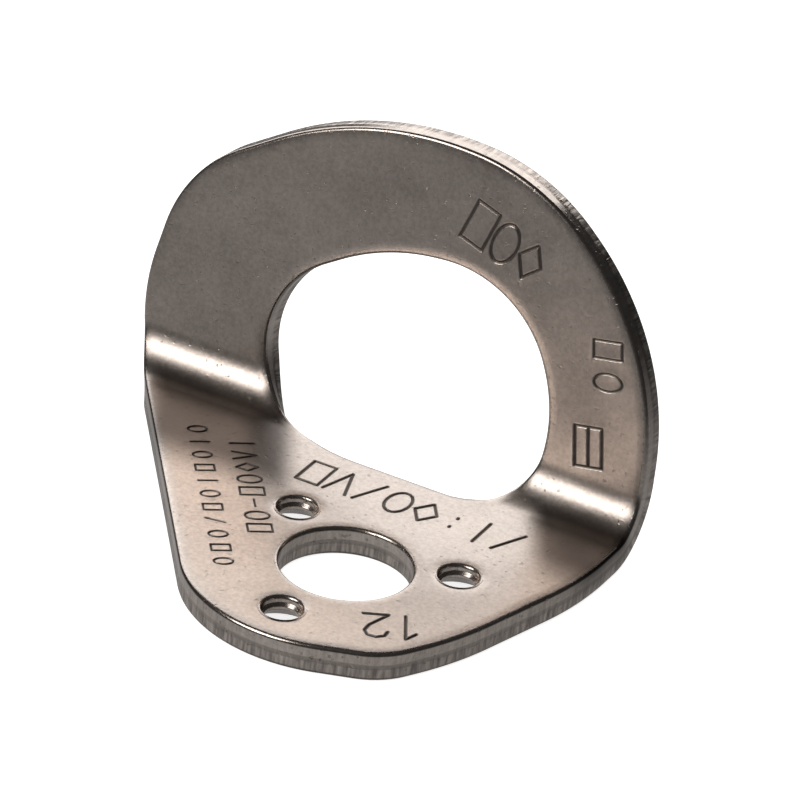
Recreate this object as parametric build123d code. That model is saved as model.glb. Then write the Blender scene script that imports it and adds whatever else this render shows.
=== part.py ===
from build123d import *
import math
import os

# Bolt hanger: one stamped and folded plate of stainless steel.
# The bolt lobe lies flat on the rock and takes one bolt. The eye lobe is folded up from it and
# takes a connector. The eye starts in the bolt lobe and runs through the fold, so the fold is two
# separate limbs.
#
# Frame: origin at the centre of the bolt hole on the back face, which rests on the rock.
# +Z points out of the rock along the bolt, and +Y points towards the fold and the eye.

# ---- driving dimensions, millimetres and degrees ----
PLATE_T = 3.0            # sheet thickness
EDGE_R = 0.4             # rounding that tumbling leaves on every edge
BOLT_HOLE_R = 6.25       # clearance hole for a 12 mm bolt

LOCK_ENTRY_R = 1.9       # three small holes round the bolt, stepped down from this radius
LOCK_NECK_R = 1.6        # to this one
LOCK_PITCH_R = 10.4
LOCK_COUNT = 3
LOCK_FIRST_ANGLE = 25.0  # the first small hole, from +X
LOCK_RIM_R = 0.35        # soft rollover where the punch went in
LOCK_STEP_DEPTH = 0.65   # depth from the front where the step to the neck begins
LOCK_NECK_DEPTH = 0.95   # and where it ends
LOCK_SINK_R = 3.7        # mouth of the countersink on the back
LOCK_SINK_DEPTH = 1.75

FOLD_START = 17.8        # distance from the bolt hole to where the fold begins
FOLD_ANGLE = 84.0
FOLD_INSIDE_R = 4.3
NEUTRAL = 0.45           # depth of the unstretched layer, as a share of the thickness from outside

# ---- flat blank: corner x, corner y, corner radius ----
# The corners are those of the straight-sided blank that the rounded outline fits inside.
OUTLINE = (
    (-5.8, -18.2, 14.9),
    (10.5, -12.0, 7.4),
    (14.5, -5.1, 34.5),
    (19.1, 10.9, 35.0),
    (19.2, 19.6, 43.0),
    (18.6, 40.5, 28.0),
    (3.5, 53.5, 20.6),
    (-14.6, 54.8, 34.0),
    (-33.1, 43.2, 15.5),
    (-37.0, 24.5, 21.8),
    (-20.6, 2.1, 60.0),
)
EYE = (
    (-15.7, 17.0, 14.0),
    (4.1, 17.0, 5.0),
    (10.4, 27.7, 15.9),
    (3.5, 43.1, 11.8),
    (-10.7, 42.0, 22.0),
    (-26.2, 32.3, 10.6),
)

# ---- derived ----
NEUTRAL_R = FOLD_INSIDE_R + (1 - NEUTRAL) * PLATE_T
CENTRE_Z = PLATE_T + FOLD_INSIDE_R
FOLD_LENGTH = NEUTRAL_R * math.radians(FOLD_ANGLE)
FOLD_END = FOLD_START + FOLD_LENGTH
REACH = 120.0            # larger than the blank in every direction

# sections through the fold, closer together where the eye's corners cross its start
FOLD_STATIONS = (0.0, 0.06, 0.14, 0.25, 0.4, 0.55, 0.7, 0.85, 1.0)


def rounded_shape(corners):
    """Closed face from corner points, each with its own radius."""
    points = [(x, y) for x, y, _ in corners]
    radii = [r for _, _, r in corners]
    return make_face(FilletPolyline(*points, radius=radii, close=True))


def lock_hole_centres():
    """Centres of the small holes round the bolt."""
    angles = [math.radians(LOCK_FIRST_ANGLE + 360 / LOCK_COUNT * i) for i in range(LOCK_COUNT)]
    return [(LOCK_PITCH_R * math.cos(a), LOCK_PITCH_R * math.sin(a)) for a in angles]


def flat_blank():
    """The stamped plate before folding, with its edges already rounded."""
    face = rounded_shape(OUTLINE) - rounded_shape(EYE) - Circle(BOLT_HOLE_R)
    plate = extrude(face, amount=PLATE_T)
    edges = plate.edges().filter_by_position(Axis.Z, 0, 0) + plate.edges().filter_by_position(
        Axis.Z, PLATE_T, PLATE_T)
    return fillet(edges, EDGE_R)


def lock_hole_cutter(centre):
    """One small hole: rolled over at the front, stepped to a neck, then countersunk at the back."""
    rim = LOCK_ENTRY_R + LOCK_RIM_R
    rim_start = PLATE_T - LOCK_RIM_R
    over = 1.0
    with BuildSketch(Plane.XZ) as profile:
        with BuildLine():
            Polyline((0, -over), (LOCK_SINK_R, -over), (LOCK_SINK_R, 0),
                     (LOCK_NECK_R, LOCK_SINK_DEPTH), (LOCK_NECK_R, PLATE_T - LOCK_NECK_DEPTH),
                     (LOCK_ENTRY_R, PLATE_T - LOCK_STEP_DEPTH), (LOCK_ENTRY_R, rim_start))
            RadiusArc((LOCK_ENTRY_R, rim_start), (rim, PLATE_T), LOCK_RIM_R)
            Polyline((rim, PLATE_T), (rim, PLATE_T + over), (0, PLATE_T + over), (0, -over))
        make_face()
    return Pos(*centre, 0) * revolve(profile.sketch, Axis.Z)


def slab(y_low, y_high):
    """Block that keeps only the plate between two distances from the bolt hole."""
    depth = y_high - y_low
    return Pos(0, (y_low + y_high) / 2, PLATE_T / 2) * Box(REACH, depth, REACH)


def fold_placement(turn):
    """Where the fold puts a cross section that has been turned by this angle.

    The section is taken at y = 0 in the flat plate and moves on a circle about the fold's centre.
    """
    return Pos(0, FOLD_START, CENTRE_Z) * Rot(turn, 0, 0) * Pos(0, 0, -CENTRE_Z)


def fold_limbs(blank):
    """The two limbs of the fold, each lofted through turned cross sections of the blank."""
    rows = []
    for station in FOLD_STATIONS:
        y = FOLD_START + station * FOLD_LENGTH
        cut = section(blank, section_by=Plane.XZ.offset(-y))
        faces = sorted(cut.faces(), key=lambda face: face.center().X)
        place = fold_placement(station * FOLD_ANGLE) * Pos(0, -y, 0)
        rows.append([place * face for face in faces])
    return [loft(limb_sections) for limb_sections in zip(*rows)]


def hanger_plate():
    """The folded plate as one solid."""
    blank = flat_blank()
    bolt_lobe = blank & slab(-REACH / 2, FOLD_START)
    for centre in lock_hole_centres():
        bolt_lobe -= lock_hole_cutter(centre)
    eye_lobe = blank & slab(FOLD_END, FOLD_END + REACH)
    eye_lobe = fold_placement(FOLD_ANGLE) * Pos(0, -FOLD_END, 0) * eye_lobe
    limbs = fold_limbs(blank)
    return bolt_lobe + limbs + eye_lobe


os.makedirs("parts", exist_ok=True)
plate = hanger_plate()
export_step(plate, "parts/hanger_plate.step")
print("solids", len(plate.solids()), "valid", plate.is_valid, "volume", round(plate.volume, 1))
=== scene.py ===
import math

import bpy
import numpy as np
from mathutils import Matrix, Vector
from mathutils.geometry import delaunay_2d_cdt


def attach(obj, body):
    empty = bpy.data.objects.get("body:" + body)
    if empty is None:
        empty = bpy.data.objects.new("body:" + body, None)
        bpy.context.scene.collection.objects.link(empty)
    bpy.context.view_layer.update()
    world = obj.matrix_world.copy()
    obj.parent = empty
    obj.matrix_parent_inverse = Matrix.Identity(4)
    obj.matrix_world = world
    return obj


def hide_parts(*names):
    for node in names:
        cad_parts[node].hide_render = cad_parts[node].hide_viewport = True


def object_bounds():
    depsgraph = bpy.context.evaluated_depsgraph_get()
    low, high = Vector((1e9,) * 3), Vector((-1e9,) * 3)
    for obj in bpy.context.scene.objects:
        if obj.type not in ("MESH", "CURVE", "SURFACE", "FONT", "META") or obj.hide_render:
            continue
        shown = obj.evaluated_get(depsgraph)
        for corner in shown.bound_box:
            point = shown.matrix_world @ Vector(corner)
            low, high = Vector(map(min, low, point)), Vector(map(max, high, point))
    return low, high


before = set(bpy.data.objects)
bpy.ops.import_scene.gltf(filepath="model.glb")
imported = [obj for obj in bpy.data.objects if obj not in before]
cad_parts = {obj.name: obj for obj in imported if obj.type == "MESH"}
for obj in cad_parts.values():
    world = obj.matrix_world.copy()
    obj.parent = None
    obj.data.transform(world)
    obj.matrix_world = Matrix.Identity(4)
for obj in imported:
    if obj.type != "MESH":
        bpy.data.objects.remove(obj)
cad_low, cad_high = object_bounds()


# ---- Blank ----
# The plate starts as a flat blank of 3 mm stainless sheet. A press cuts the outline, the big eye
# for the connector and the bolt hole. Every cut edge rolls over a little on the side where the
# punch went in, and tumbling rounds it. All sizes here are millimetres on the flat sheet.

PLATE_T = 3.0
EDGE_R = 0.4             # rounding that tumbling leaves
BOLT_HOLE_R = 6.25
OUTLINE = (
    (-5.8, -18.2, 14.9),
    (10.5, -12.0, 7.4),
    (14.5, -5.1, 34.5),
    (19.1, 10.9, 35.0),
    (19.2, 19.6, 43.0),
    (18.6, 40.5, 28.0),
    (3.5, 53.5, 20.6),
    (-14.6, 54.8, 34.0),
    (-33.1, 43.2, 15.5),
    (-37.0, 24.5, 21.8),
    (-20.6, 2.1, 60.0),
)
EYE = (
    (-15.7, 17.0, 14.0),
    (4.1, 17.0, 5.0),
    (10.4, 27.7, 15.9),
    (3.5, 43.1, 11.8),
    (-10.7, 42.0, 22.0),
    (-26.2, 32.3, 10.6),
)
LOOP_STEP = 0.22         # spacing of the points along a cut edge
ARC_STEPS = 7            # points across a rounded edge


class CutEdge:
    """One closed cut through the sheet: its points, and which way is out of the metal."""

    def __init__(self, points, outward, profile, roll_depth, roll_width):
        self.points, self.outward = points, outward
        self.profile = profile
        self.roll_depth, self.roll_width = roll_depth, roll_width
        self.reach = profile[0][0]

    def inset(self, distance):
        """The same loop moved into the metal."""
        return self.points - self.outward * distance

    def depth_below_face(self, distance):
        """How far the face rolls down at this distance from the loop, and the slope there."""
        near = np.clip(1 - (distance - self.reach) / self.roll_width, 0, 1)
        return self.roll_depth * near ** 2, -2 * self.roll_depth / self.roll_width * near


def rounded_loop(corners):
    """Points and outward normals round a shape with rounded corners, counter-clockwise."""
    corners = np.array(corners)
    here, radius = corners[:, :2], corners[:, 2]
    side = np.roll(here, -1, axis=0) - here
    length = np.linalg.norm(side, axis=1)
    go = side / length[:, None]
    come = np.roll(go, 1, axis=0)
    turn = np.arctan2(come[:, 0] * go[:, 1] - come[:, 1] * go[:, 0], (come * go).sum(axis=1))
    tangent = radius * np.tan(abs(turn) / 2)
    points, normals = [], []
    for i in range(len(corners)):
        straight = length[i] - tangent[i] - tangent[(i + 1) % len(corners)]
        steps = max(4, int(radius[i] * abs(turn[i]) / LOOP_STEP))
        inward = np.array([-come[i][1], come[i][0]]) * np.sign(turn[i])
        last = steps if straight < LOOP_STEP / 4 else steps + 1
        for angle in np.linspace(0, abs(turn[i]), steps + 1)[:last]:
            sine, cosine = math.sin(angle), math.cos(angle)
            points.append(here[i] - come[i] * tangent[i]
                          + radius[i] * (come[i] * sine + inward * (1 - cosine)))
            normals.append(rotated_right(come[i], angle * np.sign(turn[i])))
        gaps = int(straight / LOOP_STEP)
        for k in range(1, gaps):
            points.append(here[i] + go[i] * (tangent[i] + straight * k / gaps))
            normals.append(rotated_right(go[i], 0))
    return np.array(points), np.array(normals)


def rotated_right(direction, turn):
    """The normal on the right of a direction that has been turned by an angle."""
    sine, cosine = math.sin(turn), math.cos(turn)
    x, y = direction
    return np.array([x * sine + y * cosine, -x * cosine + y * sine])


def circle_loop(centre, radius):
    """Points and outward normals round a circle, counter-clockwise."""
    count = max(64, int(2 * math.pi * radius / LOOP_STEP))
    angles = np.linspace(0, 2 * math.pi, count, endpoint=False)
    normals = np.stack([np.cos(angles), np.sin(angles)], axis=1)
    return np.array(centre) + normals * radius, normals


def rolled_profile(radius, roll_depth, roll_width):
    """The edge from front to back: inset from the cut, depth in the sheet, and normal's tilt."""
    start = math.atan(2 * roll_depth / roll_width)
    profile = []
    for tilt in np.linspace(start, math.pi / 2, ARC_STEPS):
        drop = radius * (math.cos(start) - math.cos(tilt))
        profile.append((radius * (1 - math.sin(tilt)), PLATE_T - roll_depth - drop, tilt))
    for tilt in np.linspace(math.pi / 2, math.pi, ARC_STEPS):
        profile.append((EDGE_R * (1 - math.sin(tilt)), EDGE_R * (1 + math.cos(tilt)), tilt))
    return profile


def cut(loop, hole, radius, roll_depth, roll_width):
    """A cut edge whose front rolls over; for a hole the metal lies outside the loop."""
    points, normals = loop
    profile = rolled_profile(radius, roll_depth, roll_width)
    return CutEdge(points, -normals if hole else normals, profile, roll_depth, roll_width)


outline = cut(rounded_loop(OUTLINE), False, EDGE_R, 0.07, 0.9)
eye = cut(rounded_loop(EYE), True, EDGE_R, 0.12, 0.95)
bolt_hole = cut(circle_loop((0, 0), BOLT_HOLE_R), True, EDGE_R, 0.06, 0.9)


# ---- Locking holes ----
# Three small holes round the bolt hole. Each is punched from the front, which leaves a soft rim
# and a step down to a narrow neck. A countersink opens it again towards the back.

LOCK_ENTRY_R = 1.9
LOCK_NECK_R = 1.6
LOCK_RIM_R = 0.35
LOCK_STEP_DEPTH = 0.65
LOCK_NECK_DEPTH = 0.95
LOCK_SINK_R = 3.7
LOCK_SINK_DEPTH = 1.75
LOCK_PITCH_R = 10.4
LOCK_COUNT = 3
LOCK_FIRST_ANGLE = math.radians(25.0)
CORNER_BREAK = 0.04      # how far tumbling wears the hole's inner corners


def lock_hole(index):
    """Profile of one locking hole from front to back; insets are measured from the neck."""
    angle = LOCK_FIRST_ANGLE + 2 * math.pi / LOCK_COUNT * index
    centre = LOCK_PITCH_R * math.cos(angle), LOCK_PITCH_R * math.sin(angle)
    points, normals = circle_loop(centre, LOCK_NECK_R)
    wide, sink = LOCK_ENTRY_R - LOCK_NECK_R, LOCK_SINK_R - LOCK_NECK_R
    upright = math.pi / 2
    step_tilt = math.atan2(LOCK_NECK_DEPTH - LOCK_STEP_DEPTH, wide)
    sink_tilt = upright + math.atan2(sink, LOCK_SINK_DEPTH)
    c = CORNER_BREAK
    profile = [(wide + LOCK_RIM_R * (1 - math.sin(tilt)),
                PLATE_T - LOCK_RIM_R * (1 - math.cos(tilt)), tilt)
               for tilt in np.linspace(0, upright, 8)]
    profile += [(wide, PLATE_T - LOCK_STEP_DEPTH + c, upright),
                (wide - c, PLATE_T - LOCK_STEP_DEPTH - c, step_tilt),
                (c, PLATE_T - LOCK_NECK_DEPTH + c, step_tilt),
                (0, PLATE_T - LOCK_NECK_DEPTH - c, upright),
                (0, LOCK_SINK_DEPTH + c, upright),
                (c, LOCK_SINK_DEPTH - c, sink_tilt),
                (sink - c, c, sink_tilt),
                (sink + c, 0, math.pi)]
    return CutEdge(points, -normals, profile, 0.09, 1.0)


cut_edges = [outline, eye, bolt_hole] + [lock_hole(i) for i in range(LOCK_COUNT)]


# ---- Stamped marks ----
# Single-line marks pressed into the front with a hard stamp before the plate is folded. The bolt
# size is a plain number. The other places hold plain shapes: bars, rings, boxes and lozenges.

STROKE_WIDTH = 0.075      # share of the shape's height
STROKE_DEPTH = 0.13
LIP_HEIGHT = 0.006        # metal pushed up beside a stroke
LIP_PLACE, LIP_WIDTH = 1.35, 0.35      # in half widths of the stroke
STROKE_BASE = 0.07        # half width of a stroke at no height
RING = [(0.3 + 0.3 * math.cos(a), 0.5 + 0.5 * math.sin(a)) for a in np.linspace(0, 2 * math.pi, 25)]
SHAPES = {
    "bar": [[(0.3, 0), (0.3, 1)]],
    "slash": [[(0.05, 0), (0.5, 1)]],
    "dash": [[(0.0, 0.5), (0.55, 0.5)]],
    "dot": [[(0.3, 0.25), (0.3, 0.3)], [(0.3, 0.7), (0.3, 0.75)]],
    "ring": [RING],
    "box": [[(0, 0), (0.6, 0), (0.6, 1), (0, 1), (0, 0)]],
    "peak": [[(0, 0), (0.3, 1), (0.6, 0)]],
    "lozenge": [[(0, 0.5), (0.3, 0.95), (0.6, 0.5), (0.3, 0.05), (0, 0.5)]],
    "booklet": [[(0, 0), (0.7, 0), (0.7, 1), (0, 1), (0, 0)], [(0.35, 0), (0.35, 1)]],
    "one": [[(0.1, 0.75), (0.35, 1), (0.35, 0)]],
    "two": [[(0.02, 0.75), (0.1, 0.93), (0.3, 1), (0.5, 0.92), (0.56, 0.72), (0.45, 0.48),
             (0, 0), (0.6, 0)]],
}


class Mark:
    """One stamped shape as line segments on the flat sheet."""

    def __init__(self, shape, start, angle, height):
        along = np.array([math.cos(angle), math.sin(angle)]) * height
        up = np.array([-along[1], along[0]])
        self.begin, self.end = [], []
        for line in SHAPES[shape]:
            placed = [np.array(start) + along * x + up * y for x, y in line]
            self.begin += placed[:-1]
            self.end += placed[1:]
        self.begin, self.end = np.array(self.begin), np.array(self.end)
        self.half = STROKE_BASE + STROKE_WIDTH / 2 * height
        margin = self.half * 3
        corners = np.concatenate([self.begin, self.end])
        self.low, self.high = corners.min(axis=0) - margin, corners.max(axis=0) + margin


def stamp_row(shapes, start, degrees, height, pitch):
    """A row of stamped shapes."""
    angle = math.radians(degrees)
    step = np.array([math.cos(angle), math.sin(angle)]) * pitch
    return [Mark(shape, np.array(start) + step * i, angle, height)
            for i, shape in enumerate(shapes.split())]


marks = stamp_row("one two", (10.1, -4.3), 208, 3.9, 2.9)
marks += stamp_row("box peak slash ring lozenge dot bar slash", (-11.3, 10.5), 0, 3.9, 2.95)
marks += stamp_row("bar peak lozenge ring box dash ring box", (-19.8, 12.8), -54, 2.3, 2.2)
marks += stamp_row("ring bar ring box bar ring box slash ring box ring", (-24.3, 12.6), -54,
                   1.8, 2.4)
marks += stamp_row("box ring lozenge", (-3.5, 45.6), -19, 4.2, 2.95)
marks += stamp_row("box ring", (11.6, 39.9), -80, 2.9, 3.2)
marks += stamp_row("booklet", (11.9, 27.0), 10, 4.0, 4.0)


def nearest(points, begin, end, chunk=4000):
    """Distance to the nearest segment, and the direction away from it."""
    run = end - begin
    run_squared = (run ** 2).sum(axis=1)
    distance, away = np.empty(len(points)), np.empty((len(points), 2))
    for i in range(0, len(points), chunk):
        offset = points[i:i + chunk, None] - begin[None]
        share = np.clip((offset * run).sum(axis=2) / run_squared, 0, 1)
        offset -= share[..., None] * run
        squared = (offset ** 2).sum(axis=2)
        best = squared.argmin(axis=1)
        row = np.arange(len(best))
        distance[i:i + chunk] = np.sqrt(squared[row, best])
        away[i:i + chunk] = offset[row, best] / (distance[i:i + chunk, None] + 1e-9)
    return distance, away


# ---- Folded plate ----
# The stamped blank is folded once over a former, so the eye lobe stands up from the bolt lobe.
# The fold crosses the eye, so it is two limbs. The mesh is made flat, with every edge, mark and
# small wave in the sheet, and then folded as the press folds it.

MM = 0.001
FOLD_START = 17.8
FOLD_ANGLE = math.radians(84.0)
FOLD_INSIDE_R = 4.3
NEUTRAL = 0.45
NEUTRAL_R = FOLD_INSIDE_R + (1 - NEUTRAL) * PLATE_T
FOLD_END = FOLD_START + NEUTRAL_R * FOLD_ANGLE
FOLD_CENTRE = PLATE_T + FOLD_INSIDE_R
OPEN_STEP = 0.9          # grid on the plain sheet
FOLD_STEP = 0.33         # grid in the fold
MARK_STEP = 0.085        # grid in the stamped marks
WAVES = ((0.0100, 0.42, 0.21, 0.4), (0.0090, -0.30, 0.36, 2.1), (0.0040, 0.85, 0.62, 4.0),
         (0.0040, 0.70, -0.88, 1.2))


def inside(points, loop):
    """True where a point lies inside a closed loop."""
    result = np.zeros(len(points), dtype=bool)
    a, b = loop, np.roll(loop, -1, axis=0)
    for (ax, ay), (bx, by) in zip(a, b):
        if ay == by:
            continue
        crosses = (ay > points[:, 1]) != (by > points[:, 1])
        result ^= crosses & (points[:, 0] < ax + (points[:, 1] - ay) * (bx - ax) / (by - ay))
    return result


def on_metal(points, insets):
    """True where a point is on the face inside the outline and outside every hole."""
    result = inside(points, outline.inset(insets[0]))
    for edge, inset in zip(cut_edges[1:], insets[1:]):
        result &= ~inside(points, edge.inset(inset))
    return result


def grid(low, high, step):
    """Square grid of points on whole multiples of the step."""
    columns = np.arange(math.ceil(low[0] / step), math.floor(high[0] / step) + 1) * step
    rows = np.arange(math.ceil(low[1] / step), math.floor(high[1] / step) + 1) * step
    return np.stack(np.meshgrid(columns, rows), axis=-1).reshape(-1, 2)


def face_points(insets, fine):
    """Points for one face of the sheet: closer together in the fold and in the marks."""
    low, high = outline.points.min(axis=0), outline.points.max(axis=0)
    plain = grid(low, high, OPEN_STEP)
    plain = plain[(plain[:, 1] < FOLD_START - 0.5) | (plain[:, 1] > FOLD_END + 0.5)]
    fold_rows = grid((low[0], FOLD_START - 0.4), (high[0], FOLD_END + 0.4), FOLD_STEP)
    parts = [plain, fold_rows]
    if fine:
        for edge in cut_edges:
            for distance in (0.12, 0.3, 0.55, 0.85, 1.2, 1.6):
                if distance < edge.roll_width + 0.2:
                    parts.append(edge.inset(edge.reach + distance)[::2])
        for mark in marks:
            cells = grid(mark.low, mark.high, MARK_STEP)
            distance, _ = nearest(cells, mark.begin, mark.end)
            parts.append(cells[distance < mark.half * 2])
    points = np.unique(np.round(np.concatenate(parts), 4), axis=0)
    return points[on_metal(points, [reach + 0.06 for reach in insets])]


def front_surface(points):
    """Depth, flat normal, groove and rub of the front: rolled edges, marks and waves."""
    depth = np.full(len(points), PLATE_T)
    rub = np.zeros(len(points))
    slope = np.zeros((len(points), 2))
    groove = np.zeros(len(points))
    for edge in cut_edges:
        distance, away = nearest(points, edge.points, np.roll(edge.points, -1, axis=0))
        drop, rate = edge.depth_below_face(distance)
        depth -= drop
        slope -= rate[:, None] * away
        rub = np.maximum(rub, 0.4 * drop / edge.roll_depth)
    for mark in marks:
        near = np.all((points > mark.low) & (points < mark.high), axis=1)
        distance, away = nearest(points[near], mark.begin, mark.end)
        across = np.clip(distance / mark.half, 0, 1)
        sunk = STROKE_DEPTH * (1 - across ** 2) ** 2
        rate = -4 * STROKE_DEPTH * across * (1 - across ** 2) / mark.half
        beside = (distance / mark.half - LIP_PLACE) / LIP_WIDTH
        lip = LIP_HEIGHT * np.exp(-beside ** 2)
        depth[near] += lip - sunk
        slope[near] += (-2 * beside / LIP_WIDTH / mark.half * lip - rate)[:, None] * away
        groove[near] = np.maximum(groove[near], sunk / STROKE_DEPTH)
    for height, along, across, phase in WAVES:
        angle = points[:, 0] * along + points[:, 1] * across + phase
        depth += height * np.sin(angle)
        slope += (height * np.cos(angle))[:, None] * np.array([along, across])
    normal = np.column_stack([-slope, np.ones(len(points))])
    return depth, normal / np.linalg.norm(normal, axis=1)[:, None], groove, rub


def fold(flat, depth, normal):
    """Moves points of the flat sheet to where the fold puts them, with their normals."""
    turn = np.clip((flat[:, 1] - FOLD_START) / NEUTRAL_R, 0, FOLD_ANGLE)
    past = np.maximum(flat[:, 1] - FOLD_END, 0)
    sine, cosine = np.sin(turn), np.cos(turn)
    radius = FOLD_CENTRE - depth
    y = np.minimum(flat[:, 1], FOLD_START) + radius * sine + past * cosine
    z = FOLD_CENTRE - radius * cosine + past * sine
    turned = np.column_stack([normal[:, 0], normal[:, 1] * cosine - normal[:, 2] * sine,
                              normal[:, 1] * sine + normal[:, 2] * cosine])
    return np.column_stack([flat[:, 0], y, z]), turned


def smooth_step(value, low, high):
    """0 below low and 1 above high, with a smooth rise between; low may be above high."""
    share = np.clip((value - low) / (high - low), 0, 1)
    return share * share * (3 - 2 * share)


def painted_fold_shade(flat, depth):
    """Share of painted shade on the inside corner of the fold, on both limbs.

    The shade is painted there for the look. Why it looks dark there isn't known.
    """
    start = np.where(flat[:, 0] < 0, 4.0, 6.5)
    along = smooth_step(flat[:, 1], start, start + 7) * smooth_step(flat[:, 1], 22.0, 19.5)
    across = flat[:, 0] + (flat[:, 1] - 17) / 2
    limbs = smooth_step(across, 9.5, 12.5) + (
        smooth_step(across, -14, -17) * smooth_step(across, -33, -29))
    return along * limbs * smooth_step(depth, 1.5, 2.6)


class Sheet:
    """Collects the flat points, normals, faces and wear values of the plate's mesh."""

    def __init__(self):
        self.flat, self.depth, self.normal, self.values, self.faces = [], [], [], [], []
        self.count = 0

    def add(self, flat, depth, normal, wall=0.0, run=0.0, groove=0.0):
        n = len(flat)
        self.flat.append(flat)
        self.depth.append(np.broadcast_to(depth, n))
        self.normal.append(normal)
        columns = [np.broadcast_to(value, n) for value in (wall, run, groove)]
        self.values.append(np.column_stack(columns))
        first = self.count
        self.count += n
        return first

    def face(self, interior, depth, normal, rings, flip, groove=0.0, wall=0.0):
        """Triangulates one face between the innermost rings of the cut edges."""
        first = self.add(interior, depth, normal, groove=groove, wall=wall)
        points, index, edges = [], [], []
        for ring_first, ring in rings:
            base = len(points)
            points += [Vector(p) for p in ring]
            index += range(ring_first, ring_first + len(ring))
            edges += [(base + i, base + (i + 1) % len(ring)) for i in range(len(ring))]
        points += [Vector(p) for p in interior]
        index += range(first, first + len(interior))
        verts, _, faces, originals, _, _ = delaunay_2d_cdt(points, edges, [], 0, 1e-7)
        centres = np.array([[sum(verts[i][k] for i in f) / 3 for k in (0, 1)] for f in faces])
        keep = inside(centres, rings[0][1])
        for _, ring in rings[1:]:
            keep &= ~inside(centres, ring)
        for face, kept in zip(faces, keep):
            if kept:
                corners = [index[originals[i][0]] for i in face]
                self.faces.append(corners[::-1] if flip else corners)


def plate_mesh():
    """The whole folded plate as one closed mesh, with exact normals."""
    sheet = Sheet()
    front_rings, back_rings = [], []
    for edge in cut_edges:
        count = len(edge.points)
        steps = np.linalg.norm(np.diff(edge.points, axis=0), axis=1)
        run = np.concatenate([[0], np.cumsum(steps)])
        rows = []
        for inset, depth, tilt in edge.profile:
            flat = edge.inset(inset)
            normal = np.column_stack([edge.outward * math.sin(tilt),
                                      np.full(count, math.cos(tilt))])
            if not rows:
                depth, normal, _, _ = front_surface(flat)
            wall = max(math.sin(tilt) ** 2, 0.4)
            rows.append(sheet.add(flat, depth, normal, wall=wall, run=run))
        front_rings.append((rows[0], edge.inset(edge.profile[0][0])))
        back_rings.append((rows[-1], edge.inset(edge.profile[-1][0])))
        is_hole = edge is not outline
        for upper, lower in zip(rows[:-1], rows[1:]):
            for i in range(count):
                j = (i + 1) % count
                quad = [upper + i, lower + i, lower + j, upper + j]
                sheet.faces.append(quad[::-1] if is_hole else quad)
    interior = face_points([edge.profile[0][0] for edge in cut_edges], fine=True)
    depth, normal, groove, rub = front_surface(interior)
    sheet.face(interior, depth, normal, front_rings, flip=False, groove=groove, wall=rub)
    interior = face_points([edge.profile[-1][0] for edge in cut_edges], fine=False)
    down = np.tile([0.0, 0.0, -1.0], (len(interior), 1))
    sheet.face(interior, 0.0, down, back_rings, flip=True)

    flat, depth = np.concatenate(sheet.flat), np.concatenate(sheet.depth)
    points, normals = fold(flat, depth, np.concatenate(sheet.normal))
    mesh = bpy.data.meshes.new("hanger_plate_formed")
    mesh.from_pydata((points * MM).tolist(), [], sheet.faces)
    values = np.concatenate(sheet.values)
    # The corner column holds the painted shade on the inside corner of the fold.
    columns = {"wall": values[:, 0], "run": values[:, 1], "groove": values[:, 2], "depth": depth,
               "corner": painted_fold_shade(flat, depth)}
    for name, column in columns.items():
        layer = mesh.attributes.new(name, "FLOAT", "POINT")
        layer.data.foreach_set("value", column.astype(np.float32))
    mesh.shade_smooth()
    mesh.normals_split_custom_set_from_vertices(normals.tolist())
    return mesh


plate = bpy.data.objects.new("hanger_plate_formed", plate_mesh())
bpy.context.collection.objects.link(plate)


# ---- Tumbled stainless ----
# Bare stainless steel, tumbled with stones until it has a soft shine. The sheet keeps a faint
# grain of small dents, the cut walls keep the streaks of the shear, and the marks are darker
# inside.

class Shade:
    """One output of a shader node. Sums on it add Math nodes, and make() adds any other node."""

    def __init__(self, tree, socket=None):
        self.tree, self.socket = tree, socket

    def make(self, kind, settings=None, sockets=None, output=0):
        node = self.tree.nodes.new(kind)
        for name, value in (settings or {}).items():
            setattr(node, name, value)
        for name, value in (sockets or {}).items():
            if isinstance(value, Shade):
                self.tree.links.new(value.socket, node.inputs[name])
            else:
                node.inputs[name].default_value = value
        return Shade(self.tree, node.outputs[output] if node.outputs else None)

    def sum(self, operation, first, second):
        return self.make("ShaderNodeMath", {"operation": operation}, {0: first, 1: second})

    def __add__(self, other):
        return self.sum("ADD", self, other)

    def __sub__(self, other):
        return self.sum("SUBTRACT", self, other)

    def __mul__(self, other):
        return self.sum("MULTIPLY", self, other)

    __radd__, __rmul__ = __add__, __mul__

    def span(self, low, high, to_low=0.0, to_high=1.0):
        """Maps low..high to to_low..to_high, and stops at the ends."""
        return self.make("ShaderNodeMapRange", None,
                         {0: self, 1: low, 2: high, 3: to_low, 4: to_high})


def noise(shade, place, scale, detail, rough=0.5):
    """A noise texture's value."""
    return shade.make("ShaderNodeTexNoise", {"noise_dimensions": "3D"},
                      {"Vector": place, "Scale": scale, "Detail": detail, "Roughness": rough})


def blend(shade, factor, first, second):
    """The first colour where the factor is 0, and the second where it is 1."""
    return shade.make("ShaderNodeMix", {"data_type": "RGBA", "blend_type": "MIX"},
                      {0: factor, 6: first, 7: second}, output=2)


STEEL_LIGHT = (0.75, 0.67, 0.615, 1)
STEEL_DARK = (0.46, 0.405, 0.37, 1)
SHEAR_DARK = (0.22, 0.20, 0.19, 1)
# Painted shade: the colour that the inside corner of the fold is darkened towards.
PAINTED_FOLD_SHADE_COLOUR = (0.085, 0.072, 0.065, 1)
PAINTED_FOLD_SHADE_SHARE = 0.93      # how far the inside corner goes to that colour
# The colour of the small dark spots, and of the inside of the marks.
SPOT_AND_MARK_DARK = (0.10, 0.085, 0.075, 1)
DENT_DEPTH = 0.014 * MM

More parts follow.
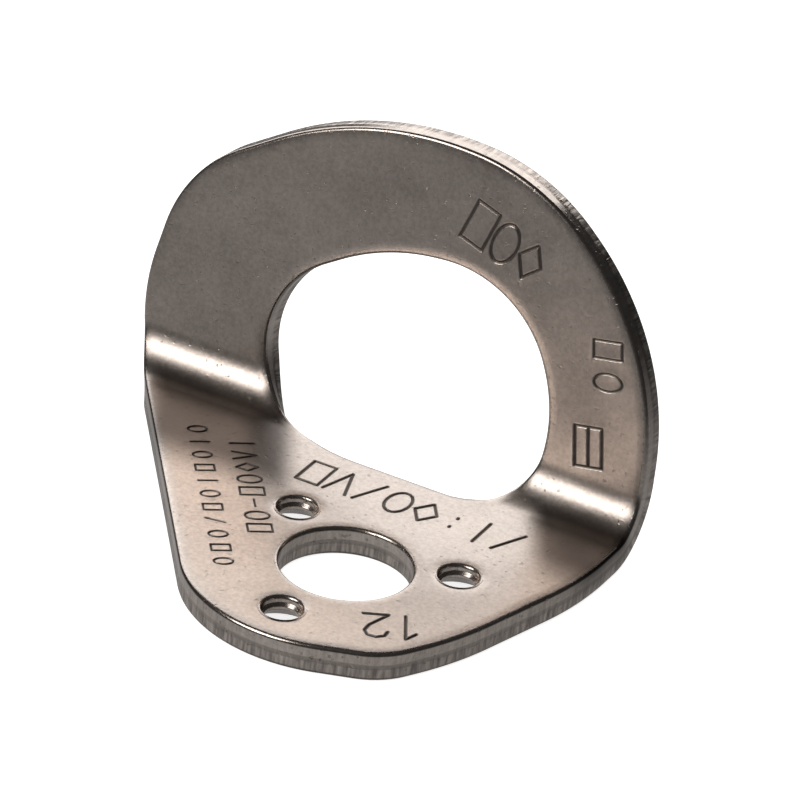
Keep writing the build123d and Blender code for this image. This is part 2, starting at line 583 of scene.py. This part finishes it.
steel = bpy.data.materials.new("tumbled_stainless")
steel.use_nodes = True
steel.node_tree.nodes.clear()
start = Shade(steel.node_tree)
place = start.make("ShaderNodeTexCoord", output="Object")
wall = start.make("ShaderNodeAttribute", {"attribute_name": "wall"}, output="Fac")
run = start.make("ShaderNodeAttribute", {"attribute_name": "run"}, output="Fac")
groove = start.make("ShaderNodeAttribute", {"attribute_name": "groove"}, output="Fac")
depth = start.make("ShaderNodeAttribute", {"attribute_name": "depth"}, output="Fac")
# corner carries the painted shade on the inside corner of the fold.
corner = start.make("ShaderNodeAttribute", {"attribute_name": "corner"}, output="Fac")

clouds = noise(start, place, 110.0, 6.0, 0.72)
grain = noise(start, place, 2400.0, 3.0, 0.7)
dents = noise(start, place, 700.0, 2.0)
spots = noise(start, place, 2100.0, 1.0).span(0.68, 0.76)
along_wall = start.make("ShaderNodeCombineXYZ", None, {0: run * 2.2, 1: depth * 0.25})
streaks = noise(start, along_wall, 1.0, 3.0, 0.6)
streaks_wide = noise(start, along_wall, 0.3, 2.0)
torn = wall.span(0.8, 1.0) * depth.span(1.7, 1.2)

mottle = clouds.span(0.3, 0.7) * 0.55 + grain.span(0.35, 0.65) * 0.45
face_colour = blend(start, mottle, STEEL_DARK, STEEL_LIGHT)
wall_colour = blend(start, streaks.span(0.35, 0.65), SHEAR_DARK, STEEL_LIGHT)
colour = blend(start, wall.span(0.5, 1.0, 0.0, 0.25) + torn * 0.6, face_colour, wall_colour)
# Painted shade darkens the inside corner of the fold.
colour = blend(start, corner * PAINTED_FOLD_SHADE_SHARE, colour, PAINTED_FOLD_SHADE_COLOUR)
colour = blend(start, spots * 0.2, colour, SPOT_AND_MARK_DARK)
# The marks are coloured darker towards the middle of each stroke.
colour = blend(start, groove.span(0.05, 0.7) * 0.85, colour, SPOT_AND_MARK_DARK)
roughness = (0.29 + clouds.span(0.3, 0.7) * 0.06 + grain * 0.04 - wall.span(0.1, 0.7) * 0.16
             + torn * streaks_wide.span(0.3, 0.7, 0.04, 0.2) + groove * 0.25)
height = grain * 0.6 + dents * 0.9 + torn * streaks * 8.0 - spots * 1.2
normal = start.make("ShaderNodeBump", None, {"Strength": 1.0, "Distance": DENT_DEPTH,
                                             "Height": height})
surface = start.make("ShaderNodeBsdfPrincipled", None,
                     {"Base Color": colour, "Metallic": 1.0, "Roughness": roughness,
                      "Normal": normal})
start.make("ShaderNodeOutputMaterial", None, {"Surface": surface})
plate.data.materials.append(steel)

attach(plate, "root")
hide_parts("hanger_plate")


# ---- Floor ----
# A plain pale table that the plate lies on, back face down. It is left out of the reflections in
# the steel, where the lower part of the room stands in for it.

FLOOR_SIZE = 4.0
FLOOR_COLOUR = (0.9, 0.9, 0.9, 1)
FLOOR_GLOW = 0.80        # keeps the table pale where the lights don't reach

half = FLOOR_SIZE / 2
floor_mesh = bpy.data.meshes.new("floor")
floor_z = cad_low.z - 0.00002
floor_mesh.from_pydata([(-half, -half, floor_z), (half, -half, floor_z), (half, half, floor_z),
                        (-half, half, floor_z)], [], [(0, 1, 2, 3)])
floor = bpy.data.objects.new("floor", floor_mesh)
bpy.context.collection.objects.link(floor)
floor.visible_glossy = False
table = bpy.data.materials.new("pale_table")
table.use_nodes = True
table.node_tree.nodes.clear()
cloth = Shade(table.node_tree)
matt = cloth.make("ShaderNodeBsdfPrincipled", None,
                  {"Base Color": FLOOR_COLOUR, "Roughness": 1.0, "Specular IOR Level": 0.0,
                   "Emission Color": (1, 1, 1, 1), "Emission Strength": FLOOR_GLOW})
cloth.make("ShaderNodeOutputMaterial", None, {"Surface": matt})
floor_mesh.materials.append(table)


# ---- Studio ----
# A white card stands behind the plate on the left, and a softbox hangs over it to the front. A
# wide light from above only lights the table. The room is dim above and paler towards the floor.

centre = (cad_low + cad_high) / 2


def softbox(name, azimuth, elevation, distance, width, height, brightness, on_steel=True):
    """A rectangular light that faces the plate. Azimuth 0 is in front, and 90 is on the left."""
    a, e = math.radians(azimuth), math.radians(elevation)
    towards = Vector((-math.sin(a) * math.cos(e), -math.cos(a) * math.cos(e), math.sin(e)))
    light = bpy.data.lights.new(name, "AREA")
    light.shape = "RECTANGLE"
    light.size, light.size_y = width, height
    light.color = brightness
    light.energy = math.pi * width * height
    lamp = bpy.data.objects.new(name, light)
    lamp.location = centre + towards * distance
    lamp.rotation_euler = towards.to_track_quat("Z", "Y").to_euler()
    lamp.visible_camera = False
    lamp.visible_glossy = on_steel
    bpy.context.collection.objects.link(lamp)


softbox("back_card", 150, 26, 0.60, 0.86, 0.44, (1.56, 1.53, 1.50))
softbox("front_softbox", 30, 35, 0.60, 0.36, 0.32, (4.1, 3.95, 3.8))
softbox("table_light", 0, 90, 1.2, 2.4, 2.4, (0.6, 0.6, 0.6), on_steel=False)

world = bpy.data.worlds.new("studio")
world.use_nodes = True
world.node_tree.nodes.clear()
room = Shade(world.node_tree)
seen = room.make("ShaderNodeLightPath", output="Is Camera Ray")
compass = room.make("ShaderNodeTexCoord", output="Generated")
x, y, z = (room.make("ShaderNodeSeparateXYZ", None, {"Vector": compass}, output=axis)
           for axis in "XYZ")
side = (x + y).span(1.2, -0.8, 0.70, 1.0)
below = z.span(-0.05, -0.50, 0.04, 0.42) * z.span(-0.95, -0.55, 0.4, 1.0) * side
room_colour = blend(room, seen, room.make("ShaderNodeCombineXYZ", None,
                                          {0: below, 1: below * 0.985, 2: below * 0.97}),
                    (1, 1, 1, 1))
glow = room.make("ShaderNodeBackground", None, {"Color": room_colour, "Strength": 1.0})
room.make("ShaderNodeOutputWorld", None, {"Surface": glow})
bpy.context.scene.world = world
bpy.context.scene.view_settings.view_transform = "Standard"


# ---- Camera ----
# A long lens looks down at the plate from the front, a little from the right, and tilted.

AZIMUTH, ELEVATION, ROLL = math.radians(25.2), math.radians(29.3), math.radians(6.4)
DISTANCE = 480.8 * MM
AIM = Vector((-1.7, 11.2, 14.5)) * MM
LENS = 234.1

back = Vector((math.sin(AZIMUTH) * math.cos(ELEVATION), -math.cos(AZIMUTH) * math.cos(ELEVATION),
               math.sin(ELEVATION)))
level = Vector((math.cos(AZIMUTH), math.sin(AZIMUTH), 0))
right = math.cos(ROLL) * level + math.sin(ROLL) * back.cross(level)
up = back.cross(right)
camera_data = bpy.data.cameras.new("camera")
camera_data.lens = LENS
camera_data.clip_start, camera_data.clip_end = 0.02, 20
camera = bpy.data.objects.new("camera", camera_data)
camera.matrix_world = Matrix.Translation(AIM + back * DISTANCE) @ Matrix(
    (right, up, back)).transposed().to_4x4()
bpy.context.collection.objects.link(camera)
bpy.context.scene.camera = camera
